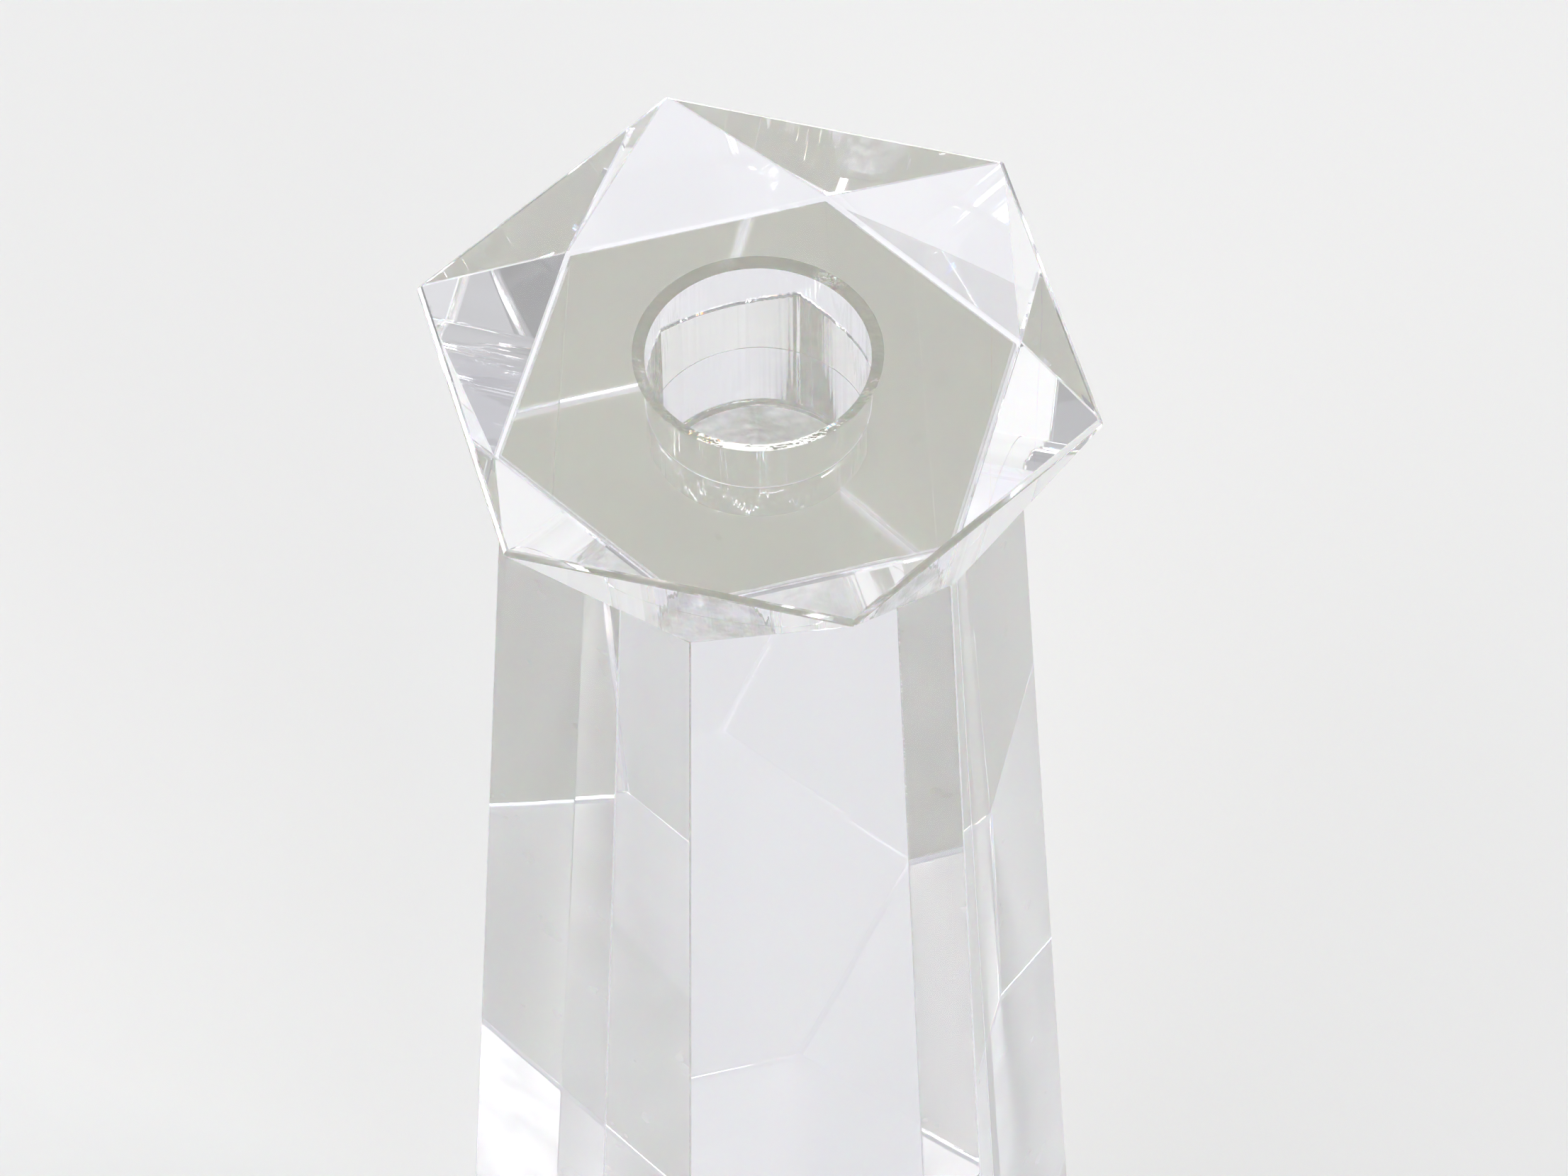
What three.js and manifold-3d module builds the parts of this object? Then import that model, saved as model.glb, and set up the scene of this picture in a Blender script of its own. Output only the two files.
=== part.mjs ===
// Cut-crystal candlestick for one dinner candle, standing free on a table.
//
// Two ground and polished blocks of optical crystal are bonded together:
// - head: a hexagonal plate whose smaller bottom hexagon is turned by 30 degrees,
//   so that twelve triangular facets run round its side. The socket goes right through it.
// - stem: a tall hexagonal column that widens downwards, with the blind end of the socket.
// - bond_film: the thin layer of clear adhesive that holds the head on the stem.
//
// Units are millimetres and +Z is up. The origin is the middle of the foot, on the table.

import * as THREE from 'three';
import { ConvexGeometry } from 'three/addons/geometries/ConvexGeometry.js';
import { mergeVertices } from 'three/addons/utils/BufferGeometryUtils.js';
import Module from 'manifold-3d';

// ---- driving dimensions -------------------------------------------------------------

const totalHeight = 230;

const headHeight = 12.5;
const headTopAcrossFlats = 59.5;
const headBottomAcrossFlats = 46;

const stemTopAcrossFlats = 45.2;
const footAcrossFlats = 66;

const socketDiameter = 22; // takes a standard dinner candle
const socketDepth = 21; // measured from the top face
const mouthChamferWidth = 1.2; // the polished chamfer round the mouth is wider than it is deep
const mouthChamferDepth = 0.45;

const arris = 0.45; // small ground chamfer on the head's top edges and round the foot

const filmThickness = 0.1;
const filmSetback = 0.3; // the adhesive stops this far short of the outer edge and of the socket

const hexagonTurn = Math.PI / 6; // the stem's corners stand between the top face's corners
const roundSegments = 96;
const cutterOverrun = 1; // how far a cutting tool runs past the face that it opens

// ---- levels above the table ---------------------------------------------------------

const headBottomLevel = totalHeight - headHeight;
const stemTopLevel = headBottomLevel - filmThickness;
const socketFloorLevel = totalHeight - socketDepth;
const socketRadius = socketDiameter / 2;

// ---- outlines and solids ------------------------------------------------------------

/** Six corners of a hexagon with the given distance across its flats, at one level. */
function hexagon(acrossFlats, level, turn = hexagonTurn) {
  const cornerRadius = acrossFlats / Math.sqrt(3);
  return Array.from({ length: 6 }, (_, side) => {
    const angle = turn + side * Math.PI / 3;
    return new THREE.Vector3(cornerRadius * Math.cos(angle), cornerRadius * Math.sin(angle), level);
  });
}

/** A solid of revolution about Z. The profile lists [radius, level] from the axis round to it. */
function turned(profile) {
  const points = profile.map(([radius, level]) => new THREE.Vector2(radius, level));
  return new THREE.LatheGeometry(points, roundSegments).rotateX(Math.PI / 2);
}

const wasm = await Module();
wasm.setup();

/** Joins a geometry's shared corners and hands it to manifold-3d. */
function toManifold(geometry) {
  const bare = geometry.clone();
  bare.deleteAttribute('normal');
  bare.deleteAttribute('uv');
  const merged = mergeVertices(bare);
  return new wasm.Manifold(new wasm.Mesh({
    numProp: 3,
    vertProperties: Float32Array.from(merged.attributes.position.array),
    triVerts: Uint32Array.from(merged.index.array),
  }));
}

/** Cuts one closed geometry out of another and returns a flat-shaded geometry. */
function cut(body, tool) {
  const result = toManifold(body).subtract(toManifold(tool)).getMesh();
  const indexed = new THREE.BufferGeometry();
  indexed.setAttribute('position', new THREE.BufferAttribute(result.vertProperties, 3));
  indexed.setIndex(new THREE.BufferAttribute(result.triVerts, 1));
  const flat = indexed.toNonIndexed();
  flat.computeVertexNormals();
  return flat;
}

// ---- the cutting tools --------------------------------------------------------------

/** The drill that makes the socket: a flat-ended cylinder that flares at the mouth. */
function socketTool() {
  const chamferSlope = mouthChamferWidth / mouthChamferDepth;
  const flareRadius = socketRadius + mouthChamferWidth + cutterOverrun * chamferSlope;
  return turned([
    [0, socketFloorLevel],
    [socketRadius, socketFloorLevel],
    [socketRadius, totalHeight - mouthChamferDepth],
    [flareRadius, totalHeight + cutterOverrun],
    [0, totalHeight + cutterOverrun],
  ]);
}

/** The round window that is kept free of adhesive. */
function filmWindow() {
  const windowRadius = socketRadius + filmSetback;
  return turned([
    [0, stemTopLevel - cutterOverrun],
    [windowRadius, stemTopLevel - cutterOverrun],
    [windowRadius, headBottomLevel + cutterOverrun],
    [0, headBottomLevel + cutterOverrun],
  ]);
}

// ---- the pieces ---------------------------------------------------------------------

function headGeometry() {
  const block = new ConvexGeometry([
    ...hexagon(headTopAcrossFlats - 2 * arris, totalHeight, 0),
    ...hexagon(headTopAcrossFlats, totalHeight - arris, 0),
    ...hexagon(headBottomAcrossFlats, headBottomLevel),
  ]);
  return cut(block, socketTool());
}

function bondFilmGeometry() {
  const across = Math.min(stemTopAcrossFlats, headBottomAcrossFlats) - 2 * filmSetback;
  const sheet = new ConvexGeometry([
    ...hexagon(across, headBottomLevel),
    ...hexagon(across, stemTopLevel),
  ]);
  return cut(sheet, filmWindow());
}

function stemGeometry() {
  const column = new ConvexGeometry([
    ...hexagon(stemTopAcrossFlats, stemTopLevel),
    ...hexagon(footAcrossFlats, arris),
    ...hexagon(footAcrossFlats - 2 * arris, 0),
  ]);
  return cut(column, socketTool());
}

// ---- materials ----------------------------------------------------------------------

const crystal = { roughness: 0.02, metalness: 0, transparent: true, opacity: 0.35, flatShading: true };
const headCrystal = new THREE.MeshStandardMaterial({ color: '#e2e2e8', ...crystal });
const stemCrystal = new THREE.MeshStandardMaterial({ color: '#d2d3d4', ...crystal });
const clearAdhesive = new THREE.MeshStandardMaterial({
  color: '#dcdcd4', roughness: 0.1, metalness: 0, transparent: true, opacity: 0.35,
});

// ---- assembly -----------------------------------------------------------------------

function piece(name, geometry, material) {
  const mesh = new THREE.Mesh(geometry, material);
  mesh.name = name;
  return mesh;
}

const candlestick = new THREE.Group();
candlestick.name = 'candlestick';
candlestick.add(
  piece('head', headGeometry(), headCrystal),
  piece('bond_film', bondFilmGeometry(), clearAdhesive),
  piece('stem', stemGeometry(), stemCrystal),
);

export default candlestick;
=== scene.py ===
# %% [markdown]
# # A cut-crystal candlestick, from a CAD frame to a finished picture
#
# The object is two ground and polished blocks of optical crystal: a faceted hexagonal head
# with a round candle socket, and a tall hexagonal column. A film of clear cured adhesive
# holds one on the other. Clear glass has no pattern of its own. What the eye gets is the
# room, bent and folded by the facets, so the work is in exact planes, in the thin ground
# edges between them, in the drilled socket and in the light.

import bmesh
import bpy
import numpy as np
from mathutils import Matrix, Vector


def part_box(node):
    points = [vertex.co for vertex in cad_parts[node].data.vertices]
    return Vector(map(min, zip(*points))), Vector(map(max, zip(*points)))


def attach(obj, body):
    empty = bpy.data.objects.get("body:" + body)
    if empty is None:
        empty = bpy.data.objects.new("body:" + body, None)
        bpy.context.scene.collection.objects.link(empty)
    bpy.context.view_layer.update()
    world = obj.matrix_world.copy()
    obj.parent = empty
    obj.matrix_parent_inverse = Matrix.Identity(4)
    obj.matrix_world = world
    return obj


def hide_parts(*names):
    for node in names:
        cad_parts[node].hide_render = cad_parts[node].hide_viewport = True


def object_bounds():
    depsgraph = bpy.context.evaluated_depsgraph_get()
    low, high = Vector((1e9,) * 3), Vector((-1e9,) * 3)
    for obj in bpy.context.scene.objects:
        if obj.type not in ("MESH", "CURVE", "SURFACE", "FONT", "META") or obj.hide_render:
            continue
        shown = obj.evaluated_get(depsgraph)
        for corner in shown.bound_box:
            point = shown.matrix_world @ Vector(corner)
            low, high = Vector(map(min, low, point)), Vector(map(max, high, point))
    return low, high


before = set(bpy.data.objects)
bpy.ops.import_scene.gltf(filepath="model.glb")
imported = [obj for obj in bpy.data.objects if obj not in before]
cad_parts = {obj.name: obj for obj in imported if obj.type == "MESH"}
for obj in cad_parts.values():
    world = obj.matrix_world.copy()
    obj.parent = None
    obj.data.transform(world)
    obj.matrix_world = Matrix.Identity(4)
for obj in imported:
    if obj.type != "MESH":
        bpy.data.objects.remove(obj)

cad_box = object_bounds()
scene = bpy.context.scene
MM = 0.001
print("CAD nodes:", sorted(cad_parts))

# %% [markdown]
# ## The camera
#
# The view is a close one from above, through a long lens, so the column barely narrows with
# distance. It is given by its azimuth and by how far it looks down, and it aims at a point a
# little below the head. The focal length is stated as a share of the picture's width.

# %% Camera
SENSOR_WIDTH = 36
FOCAL_PER_WIDTH = 5.873
azimuth = np.radians(15.1)
look_down = np.radians(52.08)
roll = np.radians(-0.6)
distance = 918.5 * MM

top_of_cad = cad_box[1][2]
aim = Vector((2.2 * MM, 0.6 * MM, top_of_cad - 37 * MM))
backwards = Vector((
    np.sin(azimuth) * np.cos(look_down),
    -np.cos(azimuth) * np.cos(look_down),
    np.sin(look_down),
))
camera_data = bpy.data.cameras.new("camera")
camera_data.sensor_width = SENSOR_WIDTH
camera_data.lens = SENSOR_WIDTH * FOCAL_PER_WIDTH
camera = bpy.data.objects.new("camera", camera_data)
camera.matrix_world = (
    Matrix.Translation(aim + backwards * distance)
    @ backwards.to_track_quat("Z", "Y").to_matrix().to_4x4()
    @ Matrix.Rotation(roll, 4, "Z")
)
scene.collection.objects.link(camera)
scene.camera = camera
print(f"lens {camera_data.lens:.0f} mm, {distance:.2f} m away")
print(f"looking down {np.degrees(look_down):.0f} degrees")

# %% [markdown]
# ## Sizes come from the CAD model
#
# The visual pieces must be exactly as large as the CAD solids, so no size is typed twice.
# Every solid here stands round the Z axis, and so two numbers per level say all about it:
# the largest distance of a vertex from the axis, and the smallest.

# %% Measure the CAD solids
LEVEL_TOLERANCE = 0.02 * MM
# a vertex this little outside the socket's radius still belongs to the socket
BORE_MARGIN = 1.01


def vertices_of(node):
    """All vertex positions of a CAD node as an array with one row per vertex, in metres."""
    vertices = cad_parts[node].data.vertices
    flat = np.empty(len(vertices) * 3, np.float32)
    vertices.foreach_get("co", flat)
    return flat.reshape(-1, 3).astype(float)


def radii_at(node, level, tolerance=LEVEL_TOLERANCE):
    """Distances from the Z axis of the node's vertices that lie at one level."""
    points = vertices_of(node)
    chosen = points[np.abs(points[:, 2] - level) < tolerance]
    return np.hypot(chosen[:, 0], chosen[:, 1])


def bore_levels(node):
    """Levels of the node's vertices that lie on the wall or on the floor of the socket."""
    points = vertices_of(node)
    return points[np.hypot(points[:, 0], points[:, 1]) < BORE_MARGIN * socket_radius, 2]


head_low, head_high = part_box("head")
film_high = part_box("bond_film")[1]
stem_low, stem_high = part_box("stem")

top_level = head_high.z
head_bottom_level = head_low.z
stem_top_level = stem_high.z
foot_level = stem_low.z

head_corner = head_high.x
head_face_corner = radii_at("head", top_level).max()
mouth_radius = radii_at("head", top_level).min()
head_bottom_corner = radii_at("head", head_bottom_level).max()
socket_radius = radii_at("head", head_bottom_level).min()
film_corner = film_high.y
# the adhesive creeps almost to the socket's wall before it cures
CREPT_TO = 0.06 * MM
film_window_radius = min(radii_at("bond_film", film_high.z).min(), socket_radius + CREPT_TO)
stem_top_corner = radii_at("stem", stem_top_level).max()
foot_corner = stem_high.y
foot_face_corner = radii_at("stem", foot_level).max()

stem_bore_levels = bore_levels("stem")
half_way_down = (foot_level + stem_top_level) / 2
socket_floor_level = stem_bore_levels[stem_bore_levels > half_way_down].min()
mouth_depth = top_level - bore_levels("head").max()
# the ground edge is a 45 degree chamfer, as deep as the flats are drawn in at the top face
edge_depth = (head_corner - head_face_corner) * np.cos(np.pi / 6)

print(f"head {2 * head_corner / MM:.1f} mm across corners, socket {2 * socket_radius / MM:.1f} mm wide")
print(f"socket depth {(top_level - socket_floor_level) / MM:.1f} mm, ground edge {edge_depth / MM:.2f} mm")

# %% [markdown]
# ## Flat facets with ground edges
#
# A lapidary grinds each facet flat, polishes it, and then breaks every sharp edge with one
# light pass, which leaves a bright line about a fifth of a millimetre wide. One way to model
# that is a Bevel modifier, but it also bevels edges that only divide a flat face. Here each
# facet is drawn in along its own plane instead, and the convex hull of all the drawn-in
# corners closes the gaps. The facets stay exactly flat, and every gap becomes a ground edge.

# %% Corners of a facet
def hexagon(corner_radius, level, turn):
    """Six corners at corner_radius from the axis, 60 degrees apart, from the angle turn on."""
    angle = turn + np.arange(6) * np.pi / 3
    return np.stack(
        [corner_radius * np.cos(angle), corner_radius * np.sin(angle), np.full(6, level)], axis=-1
    )


def drawn_in(facets, width):
    """Each flat polygon with every side moved inwards by width, in its own plane.

    facets has the shape (facets, corners, 3). A corner between two sides moves by
    width * (a + b) / (1 + a.b), where a and b are the two sides' inward unit normals.
    """
    sides = np.roll(facets, -1, axis=1) - facets
    sides /= np.linalg.norm(sides, axis=2, keepdims=True)
    before = np.roll(sides, 1, axis=1)
    normal = np.cross(before, sides)
    normal /= np.linalg.norm(normal, axis=2, keepdims=True)
    a = np.cross(normal, before)
    b = np.cross(normal, sides)
    return facets + width * (a + b) / (1 + (a * b).sum(axis=2, keepdims=True))


def band(lower, upper):
    """The four-sided facets between two hexagons whose corners stand above each other."""
    return np.stack([lower, np.roll(lower, -1, 0), np.roll(upper, -1, 0), upper], axis=1)


EDGE_WIDTH = 0.22 * MM
half_turn = np.pi / 6
print(f"each ground edge is {EDGE_WIDTH / MM:.2f} mm wide")

# %% Facets of the head and of the stem
face = hexagon(head_face_corner, top_level, 0)
girdle = hexagon(head_corner, top_level - edge_depth, 0)
seat = hexagon(head_bottom_corner, head_bottom_level, half_turn)

head_facets = [
    face[None],
    band(girdle, face),
    np.stack([girdle, seat, np.roll(girdle, -1, 0)], axis=1),
    np.stack([seat, np.roll(seat, -1, 0), np.roll(girdle, -1, 0)], axis=1),
    seat[None, ::-1],
]

shoulder = hexagon(stem_top_corner, stem_top_level, half_turn)
ankle = hexagon(foot_corner, foot_level + edge_depth, half_turn)
foot = hexagon(foot_face_corner, foot_level, half_turn)
stem_facets = [shoulder[None], band(ankle, shoulder), band(foot, ankle), foot[None, ::-1]]

print("head facets:", sum(len(group) for group in head_facets))
print("stem facets:", sum(len(group) for group in stem_facets))

# %% [markdown]
# ## Putting a block together
#
# A block is the wall of the socket, an outer skin, and flat caps with round windows in them.
# The wall is a profile carried round the axis, worked out as one array of points and one array
# of point numbers for its faces. The skin comes from the hull above. A cap is filled between
# rings that already exist, so all parts share their vertices and the block is closed. A bmesh
# holds the block while it grows, because it can fill and join.

# %% Adding arrays to a block
ROUND = 192
GLASS, BORE, BONDED, EDGE, FLOOR, FOOT = range(6)


def add_surface(mesh, points, edges=(), faces=(), finish=GLASS, smooth=False):
    """Adds arrays of points, edges and faces to a block; returns its new vertices and edges."""
    data = bpy.data.meshes.new("surface")
    data.from_pydata(points.reshape(-1, 3).tolist(), edges, faces)
    data.polygons.foreach_set("material_index", np.full(len(faces), finish, np.int32))
    data.polygons.foreach_set("use_smooth", np.full(len(faces), smooth))
    return append(mesh, data)


def append(mesh, data):
    """Moves mesh data into a block, and returns the block's new vertices and edges in order.

    The order holds as long as nothing was deleted from the block, so all of its parts are
    appended before any cap is filled.
    """
    old_verts, old_edges = len(mesh.verts), len(mesh.edges)
    mesh.from_mesh(data)
    bpy.data.meshes.remove(data)
    mesh.verts.ensure_lookup_table()
    mesh.edges.ensure_lookup_table()
    return mesh.verts[old_verts:], mesh.edges[old_edges:]


def circle(radius, level):
    """Points at radius from the axis, evenly spaced round it; both may be arrays of one shape."""
    angle = np.arange(ROUND) * 2 * np.pi / ROUND
    radius, level, angle = np.broadcast_arrays(
        np.asarray(radius)[..., None], np.asarray(level)[..., None], angle
    )
    return np.stack([radius * np.cos(angle), radius * np.sin(angle), level], axis=-1)


def new_ring(mesh, points):
    """Adds a closed ring of edges through the points, and returns the edges."""
    start = np.arange(len(points))
    pairs = np.stack([start, np.roll(start, -1)], axis=-1)
    return add_surface(mesh, points, edges=pairs.tolist())[1]


def wall(mesh, profile, finish):
    """Carries a profile of (radius, level) rows round the axis, with the normal towards it.

    The profile runs downwards. Point number k of ring n is at the angle 2 pi k / ROUND, and a
    face joins points k and k + 1 of ring n to those of ring n + 1. Returns the top ring and the
    bottom ring, each as the list of its vertices.
    """
    radius, level = np.asarray(profile).T
    number = np.arange(len(radius) * ROUND).reshape(-1, ROUND)
    beside = np.roll(number, -1, axis=1)
    quads = np.stack([number[:-1], beside[:-1], beside[1:], number[1:]], axis=-1).reshape(-1, 4)
    verts, _ = add_surface(mesh, circle(radius, level), faces=quads.tolist(), finish=finish, smooth=True)
    return verts[:ROUND], verts[-ROUND:]


def edges_round(mesh, ring):
    """The edges of a closed ring of vertices."""
    return [mesh.edges.get(pair) for pair in zip(ring, ring[1:] + ring[:1])]


print("points round a circle:", ROUND)

# %% [markdown]
# ## Skin and caps
#
# The hull of the drawn-in corners comes as triangles. Those that share a plane are joined
# again, and each long narrow strip that is left is a ground edge and gets that finish. The
# caps that have a window are left out of the skin, and are filled once everything is there.

# %% Skin and caps
# planes that differ by less than this angle, in radians, are one facet
SAME_PLANE = 0.002
WIDEST_EDGE = 0.8 * MM
# the least share of Z in the normal of a face that counts as level
LEVEL_NORMAL = 0.999


def level_faces(mesh, level):
    """The faces of a block that lie flat at one level."""
    return [
        f for f in mesh.faces
        if abs(f.normal.z) > LEVEL_NORMAL and abs(f.calc_center_median().z - level) < LEVEL_TOLERANCE
    ]


def outer_skin(mesh, facets, open_levels):
    """Adds the convex hull of the drawn-in facets, open at some levels; returns the rings there."""
    skin = bmesh.new()
    points = np.concatenate([drawn_in(group, EDGE_WIDTH / 2).reshape(-1, 3) for group in facets])
    corners, _ = add_surface(skin, points)
    bmesh.ops.convex_hull(skin, input=corners)
    bmesh.ops.dissolve_limit(skin, angle_limit=SAME_PLANE, verts=skin.verts, edges=skin.edges)
    bmesh.ops.recalc_face_normals(skin, faces=skin.faces)
    # a long strip is as wide as twice its area over its girth, so this finds the ground edges
    for f in skin.faces:
        if 2 * f.calc_area() / f.calc_perimeter() < WIDEST_EDGE:
            f.material_index = EDGE
    for level in open_levels:
        bmesh.ops.delete(skin, geom=level_faces(skin, level), context="FACES_ONLY")
    data = bpy.data.meshes.new("skin")
    skin.to_mesh(data)
    skin.free()
    rim = [e for e in append(mesh, data)[1] if len(e.link_faces) == 1]
    return [
        [e for e in rim if abs(e.verts[0].co.z - level) < LEVEL_TOLERANCE] for level in open_levels
    ]


def fill_between(mesh, outer, inner, finish, upwards):
    """Fills the flat area between two rings of edges, facing up or down."""
    made = bmesh.ops.triangle_fill(mesh, use_beauty=True, edges=list(outer) + list(inner))
    for f in made["geom"]:
        if isinstance(f, bmesh.types.BMFace):
            f.normal_update()
            if bool(f.normal.z > 0) != upwards:
                f.normal_flip()
            f.material_index = finish
            f.smooth = False


print(f"a strip under {WIDEST_EDGE / MM:.1f} mm wide counts as a ground edge")

# %% [markdown]
# ## Handing a block over
#
# A finished block becomes an object, gets its finishes and takes the place of its CAD node.
# Round walls are shaded smooth and facets flat. Blender also averages the shading of a round
# wall and a flat cap along the edge between them, which would bend everything seen near it, so
# every edge there is marked as sharp. A closed block has exactly two faces at each edge, and
# that is counted and printed.

# %% Finished pieces
CREASE = float(np.radians(25))
DOUBLES = 0.0002 * MM


def finished(name, mesh, materials, node):
    """Turns the bmesh into an object that stands for a CAD node."""
    bmesh.ops.remove_doubles(mesh, verts=mesh.verts, dist=DOUBLES)
    for edge in mesh.edges:
        edge.smooth = all(f.smooth for f in edge.link_faces) and edge.calc_face_angle() < CREASE
    data = bpy.data.meshes.new(name)
    mesh.to_mesh(data)
    mesh.free()
    for material in materials:
        data.materials.append(material)
    obj = bpy.data.objects.new(name, data)
    scene.collection.objects.link(obj)
    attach(obj, "root")
    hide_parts(node)
    uses = np.empty(len(data.loops), np.int32)
    data.loops.foreach_get("edge_index", uses)
    open_edges = np.count_nonzero(np.bincount(uses, minlength=len(data.edges)) != 2)
    print(f"{name}: {len(data.polygons)} faces, edges not shared by two faces: {open_edges}")


# %% [markdown]
# ## Colours and nodes
#
# A material is a small graph. Colours are written as the hex values that a paint card or a
# screen shows, and Cycles works with linear light, so one function turns the first into the
# second. A second function adds a node, sets it up and links it, which keeps each material
# short enough to read in one go. Object coordinates are metres, and every pattern below is
# given by the size of its features in millimetres, so a third line turns one into the other.

# %% Helpers for materials
def linear(hex_colour):
    """An sRGB colour such as '#e2e2e8' as linear red, green, blue and an alpha of one."""
    srgb = np.array([int(hex_colour[i:i + 2], 16) for i in (1, 3, 5)]) / 255
    light = np.where(srgb <= 0.04045, srgb / 12.92, ((srgb + 0.055) / 1.055) ** 2.4)
    return (*light.tolist(), 1.0)


def add_node(tree, kind, settings=None, **inputs):
    """Adds a shader node, sets its properties, and sets or links its inputs by name."""
    node = tree.nodes.new(kind)
    for key, value in (settings or {}).items():
        setattr(node, key, value)
    for key, value in inputs.items():
        socket = node.inputs[key.replace("_", " ")]
        if isinstance(value, bpy.types.NodeSocket):
            tree.links.new(value, socket)
        else:
            socket.default_value = value
    return node


def new_material(name):
    """An empty node material."""
    material = bpy.data.materials.new(name)
    material.use_nodes = True
    material.node_tree.nodes.clear()
    return material, material.node_tree


def per_metre(size):
    """The scale of a pattern on Object coordinates whose features are size metres wide."""
    return 1 / size


CRYSTAL_IOR = 1.517
GLASS_TINT = ("#f4f4fa", "#f9f9fd")

# %% [markdown]
# ## Polished optical crystal
#
# The blocks are K9 type optical crystal, a very clear borosilicate crown glass with an index
# of refraction of 1.517. Each facet is ground on a flat lap and polished with cerium oxide
# until it is clear. A plain Glass shader would do for a perfect facet. The Principled shader
# with full transmission says the same and also exports, so it is used here. Two things keep
# the facets from looking computed. Glass is never quite even, and faint clouds of tint,
# called striae, run through it. And a hand-held facet isn't quite flat: it waves by a few
# hundredths of a micrometre over a centimetre, which is enough to make long reflections
# swim a little. Both come from noise textures.

# %% Polished crystal
STRIAE_SIZE = 30 * MM
WAVE_SIZE = 14 * MM
# deeper than a real facet's waves, so that they show at this size
WAVE_HEIGHT = 0.004 * MM


def polished_crystal():
    """Clear, colourless to faintly lilac, glossy on every facet."""
    material, tree = new_material("polished_optical_crystal")
    place = add_node(tree, "ShaderNodeTexCoord").outputs["Object"]
    striae = add_node(tree, "ShaderNodeTexNoise", Vector=place, Scale=per_metre(STRIAE_SIZE), Detail=2.0)
    tint = add_node(tree, "ShaderNodeValToRGB", Fac=striae.outputs["Fac"])
    tint.color_ramp.elements[0].color = linear(GLASS_TINT[0])
    tint.color_ramp.elements[1].color = linear(GLASS_TINT[1])
    waves = add_node(tree, "ShaderNodeTexNoise", Vector=place, Scale=per_metre(WAVE_SIZE), Detail=1.0)
    bump = add_node(tree, "ShaderNodeBump", Distance=WAVE_HEIGHT, Height=waves.outputs["Fac"])
    shader = add_node(
        tree, "ShaderNodeBsdfPrincipled", Base_Color=tint.outputs["Color"], Normal=bump.outputs["Normal"],
        Roughness=0.0, IOR=CRYSTAL_IOR, Transmission_Weight=1.0,
    )
    add_node(tree, "ShaderNodeOutputMaterial", Surface=shader.outputs[0])
    return material


crystal = polished_crystal()
print("index of refraction:", CRYSTAL_IOR)

# %% [markdown]
# ## The ground edges
#
# Where two facets meet, one light pass over a fine wheel takes the sharpness off. Nobody
# polishes that strip as long as a facet, so it stays slightly frosted and carries tiny chips.
# The eye sees it as a crisp pale line with a broken sparkle. The strip is real geometry
# already, so the material only adds the frost, as roughness between two values, and the
# chips, as a coarse bump about a third of a millimetre wide.

# %% Ground edges
CHIP_SIZE = 0.35 * MM
CHIP_DEPTH = 0.012 * MM


def ground_edge():
    """Half-polished strip along an edge: frosted in places, chipped in places."""
    material, tree = new_material("fine_ground_crystal_edge")
    place = add_node(tree, "ShaderNodeTexCoord").outputs["Object"]
    chips = add_node(tree, "ShaderNodeTexNoise", Vector=place, Scale=per_metre(CHIP_SIZE), Detail=3.0)
    patches = add_node(tree, "ShaderNodeTexNoise", Vector=place, Scale=per_metre(20 * CHIP_SIZE), Detail=2.0)
    frost = add_node(
        tree, "ShaderNodeMapRange", Value=patches.outputs["Fac"],
        From_Min=0.35, From_Max=0.65, To_Min=0.03, To_Max=0.2,
    )
    bump = add_node(tree, "ShaderNodeBump", Distance=CHIP_DEPTH, Height=chips.outputs["Fac"])
    shader = add_node(
        tree, "ShaderNodeBsdfPrincipled", Base_Color=linear(GLASS_TINT[1]), Normal=bump.outputs["Normal"],
        Roughness=frost.outputs["Result"], IOR=CRYSTAL_IOR, Transmission_Weight=1.0,
    )
    add_node(tree, "ShaderNodeOutputMaterial", Surface=shader.outputs[0])
    return material


frosted_edge = ground_edge()
print(f"chips {CHIP_SIZE / MM:.2f} mm wide")

# %% [markdown]
# ## The drilled socket
#
# A diamond core drill cuts the socket, and a felt bob that is pushed in and out polishes it
# afterwards. The bob leaves long shallow hollows down the wall. From inside the glass the wall
# is a mirror, and each hollow in it turns into a bright or a dark stripe, which every facet of
# the head then repeats. The bob can't reach the drill's own grooves everywhere, so fine rings
# stay round the wall as well, in bands where the drill chattered. A Wave texture would draw
# both, but perfectly evenly. Noise that is stretched along the axis, or squeezed along it,
# makes lines of uneven strength instead. The real grooves are a few hundredths of a millimetre
# apart, too fine to show, so they are drawn a quarter of a millimetre apart.

# %% Socket wall
GROOVE_PITCH = 0.25 * MM
GROOVE_LENGTH = 12 * MM
GROOVE_DEPTH = 0.003 * MM
CHATTER_SIZE = 9 * MM
HOLLOW_WIDTH = 1.3 * MM
HOLLOW_LENGTH = 70 * MM
HOLLOW_DEPTH = 0.12 * MM


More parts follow.
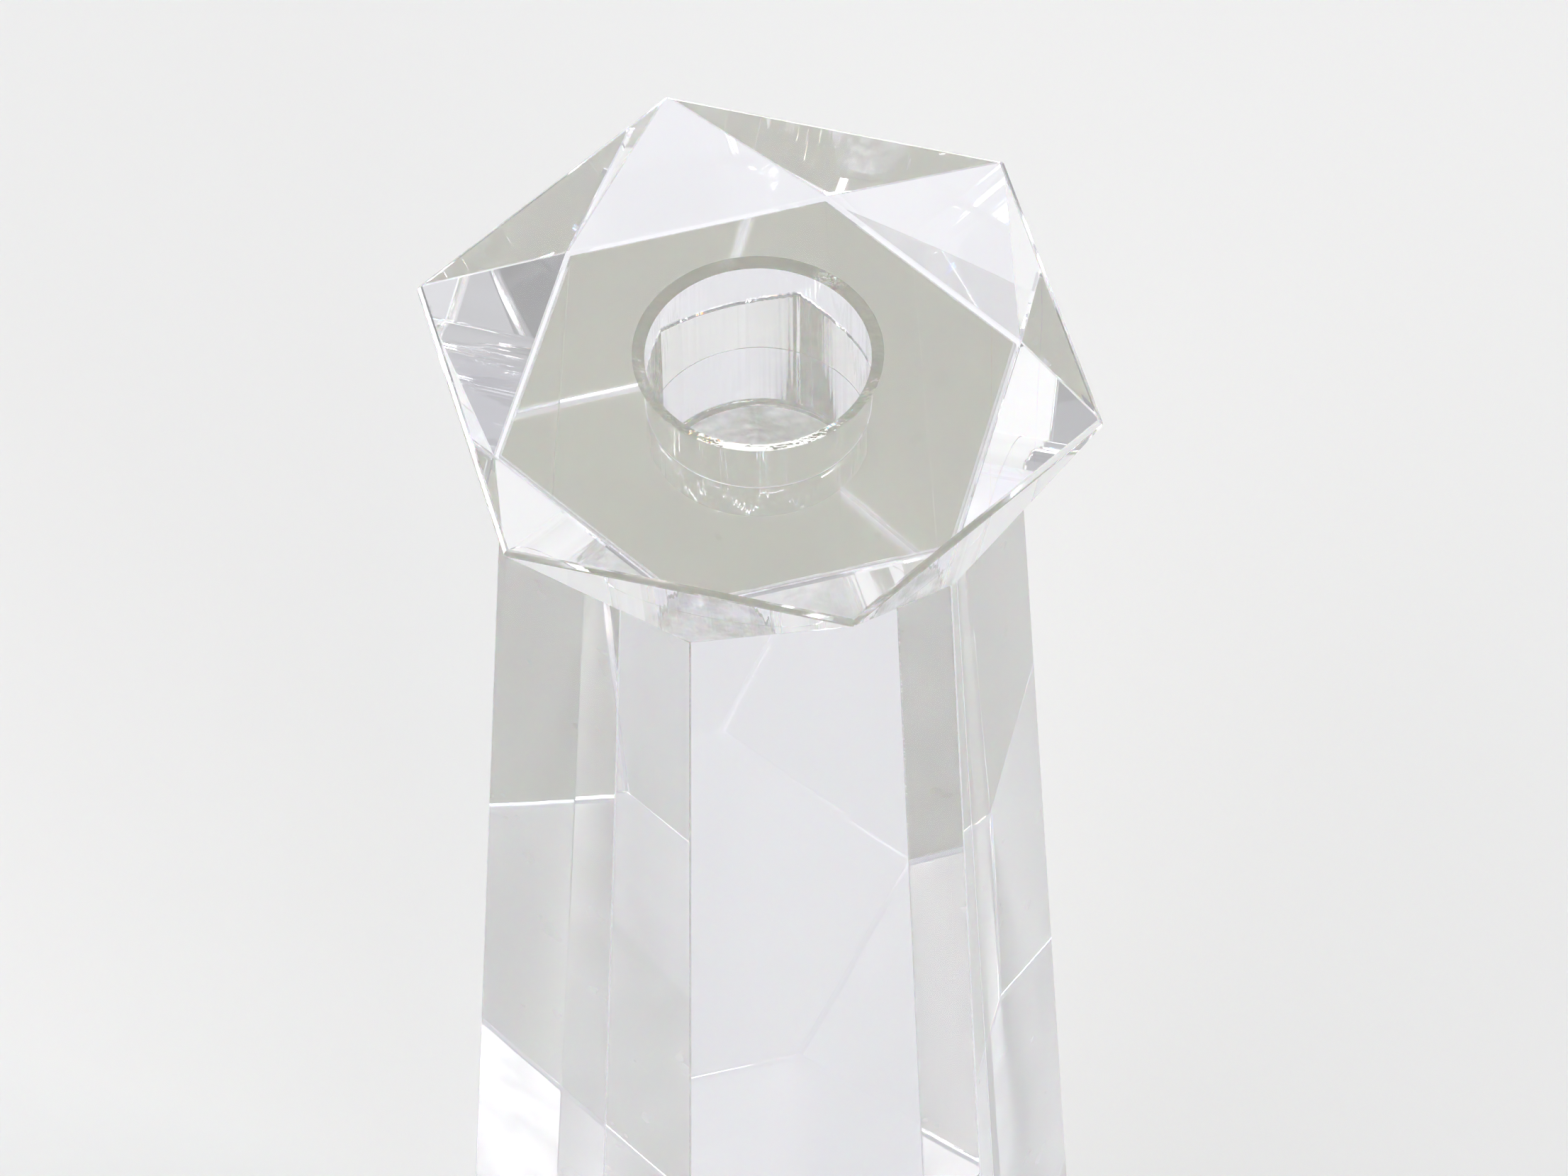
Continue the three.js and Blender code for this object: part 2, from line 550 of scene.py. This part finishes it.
def drilled_wall():
    """Polished bore: long hollows from the bob, and bands of fine rings from the core drill."""
    material, tree = new_material("core_drilled_and_polished_crystal")
    place = add_node(tree, "ShaderNodeTexCoord").outputs["Object"]
    round_about = per_metre(HOLLOW_WIDTH)
    stretched = add_node(
        tree, "ShaderNodeMapping", Vector=place, Scale=(round_about, round_about, per_metre(HOLLOW_LENGTH))
    )
    hollows = add_node(tree, "ShaderNodeTexNoise", Vector=stretched.outputs["Vector"], Scale=1.0, Detail=2.0)
    hollowed = add_node(tree, "ShaderNodeBump", Distance=HOLLOW_DEPTH, Height=hollows.outputs["Fac"])
    across = per_metre(GROOVE_LENGTH)
    squeezed = add_node(
        tree, "ShaderNodeMapping", Vector=place, Scale=(across, across, per_metre(GROOVE_PITCH))
    )
    grooves = add_node(tree, "ShaderNodeTexNoise", Vector=squeezed.outputs["Vector"], Scale=1.0, Detail=2.0)
    bands = add_node(tree, "ShaderNodeTexNoise", Vector=place, Scale=per_metre(CHATTER_SIZE), Detail=1.0)
    left_over = add_node(
        tree, "ShaderNodeMapRange", Value=bands.outputs["Fac"],
        From_Min=0.45, From_Max=0.65, To_Min=0.05, To_Max=1.0,
    )
    bump = add_node(
        tree, "ShaderNodeBump", Distance=GROOVE_DEPTH, Strength=left_over.outputs["Result"],
        Height=grooves.outputs["Fac"], Normal=hollowed.outputs["Normal"],
    )
    haze = add_node(
        tree, "ShaderNodeMapRange", Value=bands.outputs["Fac"],
        From_Min=0.45, From_Max=0.7, To_Min=0.0, To_Max=0.06,
    )
    shader = add_node(
        tree, "ShaderNodeBsdfPrincipled", Base_Color=linear(GLASS_TINT[1]), Normal=bump.outputs["Normal"],
        Roughness=haze.outputs["Result"], IOR=CRYSTAL_IOR, Transmission_Weight=1.0,
    )
    add_node(tree, "ShaderNodeOutputMaterial", Surface=shader.outputs[0])
    return material


bore = drilled_wall()
print(f"hollows {HOLLOW_WIDTH / MM:.1f} mm wide, grooves {GROOVE_PITCH / MM:.2f} mm apart")

# %% [markdown]
# ## The socket's floor
#
# The core drill leaves a ring and a broken stub in the middle, and a flat tool grinds the stub
# away. The floor is the one face that a polishing bob barely reaches, so it keeps arcs round
# the centre and a milky bloom. The bloom is glass dust in the ground surface. It scatters light
# like a white powder, and less light passes where it is dense. The arcs are a Wave texture of
# rings, bent by its own noise.

# %% Socket floor
ARC_PITCH = 1.4 * MM
ARC_DEPTH = 0.02 * MM
BLOOM_SIZE = 5 * MM


def ground_floor():
    """Half-polished floor of the socket, with arcs round the centre and a faint bloom."""
    material, tree = new_material("ground_socket_floor")
    place = add_node(tree, "ShaderNodeTexCoord").outputs["Object"]
    # the texture's phase is 20 times the scaled distance from the axis, and 2 pi is one arc
    arcs = add_node(
        tree, "ShaderNodeTexWave", {"wave_type": "RINGS", "rings_direction": "Z"}, Vector=place,
        Scale=2 * np.pi / 20 * per_metre(ARC_PITCH), Distortion=6.0, Detail=3.0, Detail_Scale=2.0,
    )
    bloom = add_node(tree, "ShaderNodeTexNoise", Vector=place, Scale=per_metre(BLOOM_SIZE), Detail=3.0)
    frost = add_node(
        tree, "ShaderNodeMapRange", Value=bloom.outputs["Fac"],
        From_Min=0.35, From_Max=0.7, To_Min=0.04, To_Max=0.3,
    )
    bump = add_node(tree, "ShaderNodeBump", Distance=ARC_DEPTH, Height=arcs.outputs["Fac"])
    clear = add_node(
        tree, "ShaderNodeMapRange", Value=bloom.outputs["Fac"],
        From_Min=0.35, From_Max=0.6, To_Min=0.7, To_Max=0.05,
    )
    shader = add_node(
        tree, "ShaderNodeBsdfPrincipled", Base_Color=linear("#ffffff"), Normal=bump.outputs["Normal"],
        Roughness=frost.outputs["Result"], IOR=CRYSTAL_IOR, Transmission_Weight=clear.outputs["Result"],
    )
    add_node(tree, "ShaderNodeOutputMaterial", Surface=shader.outputs[0])
    return material


socket_floor = ground_floor()
print(f"arcs {ARC_PITCH / MM:.1f} mm apart")

# %% [markdown]
# ## The underside of the foot
#
# The foot is ground dead flat on a lap and left satin, so a little light from the sides gets
# through it that a polished face would mirror away. Crystal is clear across a few centimetres, but
# along the whole column a faint straw colour shows, as a sheet of glass is tinted when it is
# seen edge on. Absorption in the volume would be the direct way. The blocks are joined by faces
# that let light pass, and a volume would have to be told apart at each of them. Nearly all the
# light that has gone the long way also crosses the foot, so the foot's face carries the tint.

# %% Foot
LONG_WAY_TINT = "#fefef0"
LAPPING_SIZE = 8 * MM


def satin_foot():
    """Flat satin underside, tinted as the whole length of the glass would tint it."""
    material, tree = new_material("lapped_crystal_foot")
    place = add_node(tree, "ShaderNodeTexCoord").outputs["Object"]
    lapping = add_node(
        tree, "ShaderNodeTexNoise", Vector=place, Scale=per_metre(LAPPING_SIZE), Detail=3.0
    )
    haze = add_node(
        tree, "ShaderNodeMapRange", Value=lapping.outputs["Fac"],
        From_Min=0.3, From_Max=0.7, To_Min=0.26, To_Max=0.36,
    )
    shader = add_node(
        tree, "ShaderNodeBsdfPrincipled", Base_Color=linear(LONG_WAY_TINT), Roughness=haze.outputs["Result"],
        IOR=CRYSTAL_IOR, Transmission_Weight=1.0,
    )
    add_node(tree, "ShaderNodeOutputMaterial", Surface=shader.outputs[0])
    return material


foot_face = satin_foot()
print("tint along the column:", LONG_WAY_TINT)

# %% [markdown]
# ## The bond
#
# A clear acrylic adhesive, cured under ultraviolet light, holds the blocks together. Its index
# of refraction is so near the glass that light goes straight through the bonded faces, and
# all that is left is its faint straw colour. Three glass surfaces a tenth of a millimetre
# apart would each bend and mirror a little light, which the real joint doesn't do. So the
# faces inside the joint only let light pass, with the tint, and the film's narrow rim, which
# meets the air, is the one part with a glossy shader.

# %% Adhesive and bonded faces
STRAW_TINT = "#fffffe"
RIM_TINT = "#f6f6ef"
BUBBLE_SIZE = 0.4 * MM
BUBBLE_HEIGHT = 0.01 * MM


def bonded_face():
    """A face inside the joint, which light crosses without bending, slightly straw coloured."""
    material, tree = new_material("adhesive_wetted_crystal")
    shader = add_node(tree, "ShaderNodeBsdfTransparent", Color=linear(STRAW_TINT))
    add_node(tree, "ShaderNodeOutputMaterial", Surface=shader.outputs[0])
    return material


def cured_adhesive():
    """The rim of the film: clear acrylic with a satin skin and small bubbles."""
    material, tree = new_material("cured_acrylic_adhesive")
    place = add_node(tree, "ShaderNodeTexCoord").outputs["Object"]
    bubbles = add_node(tree, "ShaderNodeTexNoise", Vector=place, Scale=per_metre(BUBBLE_SIZE), Detail=1.0)
    bump = add_node(tree, "ShaderNodeBump", Distance=BUBBLE_HEIGHT, Height=bubbles.outputs["Fac"])
    shader = add_node(
        tree, "ShaderNodeBsdfPrincipled", Base_Color=linear(RIM_TINT), Normal=bump.outputs["Normal"],
        Roughness=0.12, IOR=1.5, Transmission_Weight=1.0,
    )
    add_node(tree, "ShaderNodeOutputMaterial", Surface=shader.outputs[0])
    return material


bonded = bonded_face()
adhesive = cured_adhesive()
finishes = [crystal, bore, bonded, frosted_edge, socket_floor, foot_face]
print("finishes:", ", ".join(material.name for material in finishes + [adhesive]))

# %% [markdown]
# ## The head
#
# The head is a slice of crystal whose top is a large hexagon and whose bottom is a smaller
# one, turned by half a side. Twelve triangles join the two, which is an antiprism, and it is
# what makes the head sparkle: every triangle leans another way. The socket goes right through.
# Its mouth has a wide, shallow chamfer, so that a candle slides in and the rim can't chip.
# The bottom face has three zones, because only the middle one is wetted by the adhesive.

# %% The head
# the film stays this far clear of both blocks, so that no two surfaces lie in one plane
BOND_SPLIT = 0.002 * MM
mesh = bmesh.new()
head_bore = [
    (mouth_radius, top_level),
    (socket_radius, top_level - mouth_depth),
    (socket_radius, head_bottom_level),
]
mouth, throat = wall(mesh, head_bore, BORE)
film_ring = new_ring(mesh, hexagon(film_corner, head_bottom_level, half_turn))
window_ring = new_ring(mesh, circle(film_window_radius, head_bottom_level))
top_ring, bottom_ring = outer_skin(mesh, head_facets, [top_level, head_bottom_level])
fill_between(mesh, top_ring, edges_round(mesh, mouth), GLASS, upwards=True)
fill_between(mesh, bottom_ring, film_ring, GLASS, upwards=False)
fill_between(mesh, film_ring, window_ring, BONDED, upwards=False)
fill_between(mesh, window_ring, edges_round(mesh, throat), GLASS, upwards=False)
finished("crystal_head", mesh, finishes, "head")

# %% [markdown]
# ## The bond film
#
# The film is a hexagonal sheet a tenth of a millimetre thick, with a round window for the
# socket. It stops just short of the edges, where the excess was wiped off.

# %% The bond film
# the slots keep the blocks' order, and the rim takes the place of the polished glass
RIM = GLASS
film_finishes = [adhesive, bore, bonded]
mesh = bmesh.new()
upper_level = head_bottom_level - BOND_SPLIT
lower_level = stem_top_level + BOND_SPLIT
window = [(film_window_radius, upper_level), (film_window_radius, lower_level)]
upper_hole, lower_hole = wall(mesh, window, RIM)
upper_rim = new_ring(mesh, hexagon(film_corner, upper_level, half_turn))
lower_rim = new_ring(mesh, hexagon(film_corner, lower_level, half_turn))
bmesh.ops.bridge_loops(mesh, edges=upper_rim + lower_rim)
fill_between(mesh, upper_rim, edges_round(mesh, upper_hole), BONDED, upwards=True)
fill_between(mesh, lower_rim, edges_round(mesh, lower_hole), BONDED, upwards=False)
bmesh.ops.recalc_face_normals(mesh, faces=mesh.faces)
finished("clear_bond_film", mesh, film_finishes, "bond_film")

# %% [markdown]
# ## The stem
#
# The stem is a hexagonal column that widens evenly from the head to the foot. Light that comes
# in through the top is mirrored from side to side on its way down, as in a light guide, and
# that is where the bands and stripes in its faces come from. The blind end of the socket is in
# it. The drill has a slightly rounded corner, so the wall runs into the floor on a small arc.

# %% The stem
DRILL_CORNER = 0.6 * MM
CORNER_POINTS = 7
mesh = bmesh.new()
# a quarter circle from the wall, where arc is 0, to the floor, where arc is pi / 2
arc = np.linspace(0, np.pi / 2, CORNER_POINTS)
arc_radii = socket_radius - DRILL_CORNER * (1 - np.cos(arc))
arc_levels = socket_floor_level + DRILL_CORNER * (1 - np.sin(arc))
well, floor_ring = wall(mesh, [(socket_radius, stem_top_level), *zip(arc_radii, arc_levels)], BORE)
film_ring = new_ring(mesh, hexagon(film_corner, stem_top_level, half_turn))
window_ring = new_ring(mesh, circle(film_window_radius, stem_top_level))
[shoulder_ring] = outer_skin(mesh, stem_facets, [stem_top_level])
fill_between(mesh, shoulder_ring, film_ring, GLASS, upwards=True)
fill_between(mesh, film_ring, window_ring, BONDED, upwards=True)
fill_between(mesh, window_ring, edges_round(mesh, well), GLASS, upwards=True)
well_floor = mesh.faces.new(floor_ring)
well_floor.material_index = FLOOR
well_floor.smooth = False
for f in level_faces(mesh, foot_level):
    f.material_index = FOOT
finished("crystal_stem", mesh, finishes, "stem")

# %% [markdown]
# ## The table
#
# Clear glass shows nothing but its surroundings, so they are part of its look. A sheet of
# white paper, three metres to each side, stands in for the table and for the far wall. It
# lies a twentieth of a millimetre below the foot, which is how far a hard flat foot stays off
# paper, and this keeps an air gap there. With the two in one plane the gap would be undefined.

# %% White paper
FLOOR_GAP = 0.05 * MM
PAPER_REACH = 3.0
PAPER_WHITE = "#efefef"
floor_mesh = bpy.data.meshes.new("paper_sweep")
sheet_corners = hexagon(PAPER_REACH, foot_level - FLOOR_GAP, 0)
floor_mesh.from_pydata(sheet_corners.tolist(), [], [tuple(range(6))])
floor = bpy.data.objects.new("paper_sweep", floor_mesh)
scene.collection.objects.link(floor)
paper, tree = new_material("white_paper")
shader = add_node(tree, "ShaderNodeBsdfPrincipled", Base_Color=linear(PAPER_WHITE), Roughness=0.9)
add_node(tree, "ShaderNodeOutputMaterial", Surface=shader.outputs[0])
floor_mesh.materials.append(paper)
print(f"paper {2 * PAPER_REACH:.0f} m across, {FLOOR_GAP / MM:.2f} mm below the foot")

# %% [markdown]
# ## The room
#
# Small glass is often lit in a white cloth tent. The cloth glows evenly from overhead, gets
# darker halfway down, where it hangs clear of the lamps, and is bright again near the table.
# An image of a real room would show things that aren't here, so the tent is a colour ramp
# over height.

# %% The tent
TENT_STRENGTH = 0.68
# colours of the cloth at the table, halfway up and overhead, by the sine of the height angle
CLOTH = ((0.15, "#ffffff"), (0.45, "#ababab"), (0.75, "#d6d6d6"))
world = bpy.data.worlds.new("white_tent")
scene.world = world
world.use_nodes = True
tree = world.node_tree
tree.nodes.clear()
direction = add_node(tree, "ShaderNodeTexCoord").outputs["Generated"]
height = add_node(tree, "ShaderNodeSeparateXYZ", Vector=direction).outputs["Z"]
cloth = add_node(tree, "ShaderNodeValToRGB", Fac=height)
ramp = cloth.color_ramp.elements
ramp[0].position, ramp[1].position = CLOTH[0][0], CLOTH[2][0]
ramp.new(CLOTH[1][0])
for stop, (_, colour) in zip(ramp, CLOTH):
    stop.color = linear(colour)
glow = add_node(tree, "ShaderNodeBackground", Color=cloth.outputs["Color"], Strength=TENT_STRENGTH)
add_node(tree, "ShaderNodeOutputWorld", Surface=glow.outputs["Background"])
print("stops of the tent's ramp:", [round(stop.position, 2) for stop in ramp])

# %% [markdown]
# ## The lamps
#
# Two softboxes hang over the tent, one behind the object and one in front of it on the left.
# The hind one is where the top face mirrors it, which lays a sheen on the glass. Four lamps
# stand low outside the tent, to the left, to the right, in front and behind. Low light matters
# here: it comes in through the sloping facets of the head, runs down the column and lights the
# paper under the foot. It also catches the chamfer round the socket's mouth.
#
# Glass bends blue light more than red, which puts coloured fringes on everything bright that
# is seen through it. Cycles bends all colours alike. So each lamp is three lights, a red, a
# green and a blue one, about half a degree apart round the object. Where they overlap they add up
# to white, and their edges show the fringes.

# %% Lamps
LAMP_DISTANCE = 2.9
LAMP_AIM = Vector((0, 0, 100 * MM))
COLOUR_SPLIT = np.radians(0.6)


def lamp(name, azimuth_degrees, elevation_degrees, width, height, brightness):
    """A rectangular patch of light at a direction, facing the object.

    Its brightness is its radiance, on the scale where a pure white in the picture is 1.
    """
    up = np.radians(elevation_degrees)
    for step, colour in ((-1, (1, 0, 0)), (0, (0, 1, 0)), (1, (0, 0, 1))):
        around = np.radians(azimuth_degrees) + step * COLOUR_SPLIT
        towards = Vector((np.cos(around) * np.cos(up), np.sin(around) * np.cos(up), np.sin(up)))
        light = bpy.data.lights.new(f"{name}_{'rgb'[step + 1]}", "AREA")
        light.shape = "RECTANGLE"
        light.size = width
        light.size_y = height
        light.energy = brightness * np.pi * width * height
        light.color = colour
        obj = bpy.data.objects.new(light.name, light)
        obj.matrix_world = Matrix.Translation(LAMP_AIM + towards * LAMP_DISTANCE) @ (
            towards.to_track_quat("Z", "Y").to_matrix().to_4x4()
        )
        obj.visible_camera = False
        scene.collection.objects.link(obj)


# azimuth and elevation in degrees, width and height in metres, brightness
lamp("back_softbox", 102, 57, 1.6, 0.76, 2.4)
lamp("front_softbox", 238, 56, 1.6, 0.9, 3.3)
lamp("left_lamp", 168, 9, 1.6, 0.65, 16)
lamp("right_lamp", 0, 9, 0.8, 0.65, 30)
lamp("front_lamp", 305, 9, 1.6, 0.65, 12)
lamp("back_lamp", 108, 10, 1.3, 0.65, 7.5)

# %% [markdown]
# ## How far light is followed
#
# Inside a light guide a ray is mirrored many times before it gets out. If Cycles gave up
# early, those paths would turn black, so the limits are raised. The Standard view keeps white
# paper white.

# %% Light paths
LONGEST_PATH = 32
scene.cycles.max_bounces = LONGEST_PATH
scene.cycles.glossy_bounces = LONGEST_PATH
scene.cycles.transmission_bounces = LONGEST_PATH
scene.cycles.transparent_max_bounces = LONGEST_PATH
scene.view_settings.view_transform = "Standard"
print("longest path:", LONGEST_PATH)

# %% [markdown]
#
# The box round the finished pieces has to lie inside the box round the CAD model. The CAD
# model's box is written down.

# %% Finish
print("CAD box:   ", [[round(v / MM, 2) for v in corner] for corner in cad_box])
